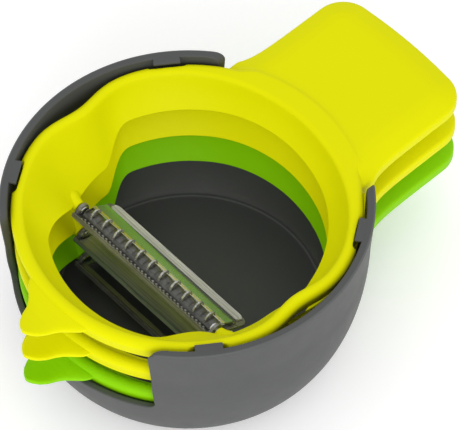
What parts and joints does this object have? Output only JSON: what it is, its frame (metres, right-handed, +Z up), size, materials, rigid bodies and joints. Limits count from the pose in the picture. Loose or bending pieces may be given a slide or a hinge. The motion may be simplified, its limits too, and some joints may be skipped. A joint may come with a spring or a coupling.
{
  "type": "nesting hand slicer set",
  "caption": "Nesting palm slicers with ring frames, paddle handles and swivelling steel blades, stacked in a round storage bowl.",
  "frame": {"origin": "centre of the bowl's flat underside", "axes": "+Z up out of the bowl, +Y toward the handles, -Y toward the pointed lips, X along the blades and their pivot pins"},
  "size_m": [0.089, 0.1246, 0.0456],
  "materials": {
    "bowl_plastic": "fine satin, dark grey",
    "lime_plastic": "smooth satin, yellow lime",
    "green_plastic": "smooth satin, leaf green",
    "blade_steel": "stamped stainless steel, fine brushing",
    "polished_steel": "ground and polished",
    "rail_steel": "lengthwise brushing",
    "pin_steel": "drawn wire"
  },
  "bodies": {
    "storage_bowl": {"bowl": "bowl_plastic"},
    "slicer_1": {"frame_1": "lime_plastic"},
    "blade_unit_1": {"tray_1": "blade_steel", "julienne_comb": "blade_steel", "blade_1": "polished_steel", "rail_1": "rail_steel", "pin_1_left": "pin_steel", "pin_1_right": "pin_steel"},
    "slicer_2": {"frame_2": "lime_plastic"},
    "blade_unit_2": {"tray_2": "blade_steel", "blade_2": "blade_steel", "rail_2": "rail_steel", "pin_2_left": "pin_steel", "pin_2_right": "pin_steel"},
    "slicer_3": {"frame_3": "green_plastic"},
    "blade_unit_3": {"tray_3": "blade_steel", "blade_3": "blade_steel", "rail_3": "rail_steel", "pin_3_left": "pin_steel", "pin_3_right": "pin_steel"}
  },
  "joints": [
    {"name": "lift_3", "type": "slide", "parent": "storage_bowl", "child": "slicer_3", "axis": [0, 0, 1], "range_m": [0, 0.05]},
    {"name": "lift_2", "type": "slide", "parent": "slicer_3", "child": "slicer_2", "axis": [0, 0, 1], "range_m": [0, 0.03]},
    {"name": "lift_1", "type": "slide", "parent": "slicer_2", "child": "slicer_1", "axis": [0, 0, 1], "range_m": [0, 0.03]},
    {"name": "swivel_1", "type": "hinge", "parent": "slicer_1", "child": "blade_unit_1", "pos_m": [0, -0.0128, 0.0295], "axis": [1, 0, 0], "range_deg": [0, 30]},
    {"name": "swivel_2", "type": "hinge", "parent": "slicer_2", "child": "blade_unit_2", "pos_m": [0, -0.0128, 0.01922], "axis": [1, 0, 0], "range_deg": [0, 30]},
    {"name": "swivel_3", "type": "hinge", "parent": "slicer_3", "child": "blade_unit_3", "pos_m": [0, -0.0128, 0.00894], "axis": [1, 0, 0], "range_deg": [0, 27]}
  ]
}
